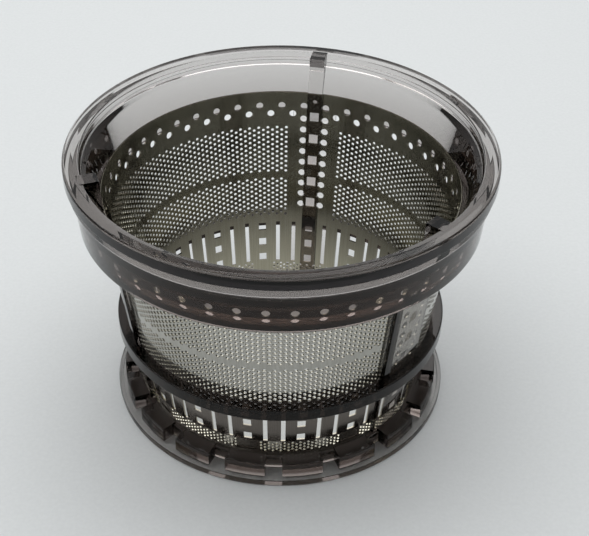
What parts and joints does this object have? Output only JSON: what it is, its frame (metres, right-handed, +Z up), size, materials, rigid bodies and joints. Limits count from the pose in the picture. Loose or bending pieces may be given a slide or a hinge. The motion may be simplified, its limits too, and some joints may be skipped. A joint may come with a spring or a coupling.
{
  "type": "juicer mesh screen",
  "caption": "Open-ended conical strainer for a slow juicer: perforated steel sheet moulded into a clear smoke-grey frame with a wide rim, ribs, a hoop and a lugged base.",
  "frame": {"origin": "centre of the underside of the base flange", "axes": "+Z up along the cone's axis, from the base to the rim; -Y is the side seen in the picture, with one rib near the back at +Y"},
  "size_m": [0.116, 0.116, 0.0786],
  "materials": {
    "smoke_plastic": "glossy, see-through, tinted smoke grey",
    "screen_steel": "satin rolled sheet"
  },
  "bodies": {
    "root": {"moulded_frame": "smoke_plastic", "steel_screen": "screen_steel"}
  },
  "joints": []
}
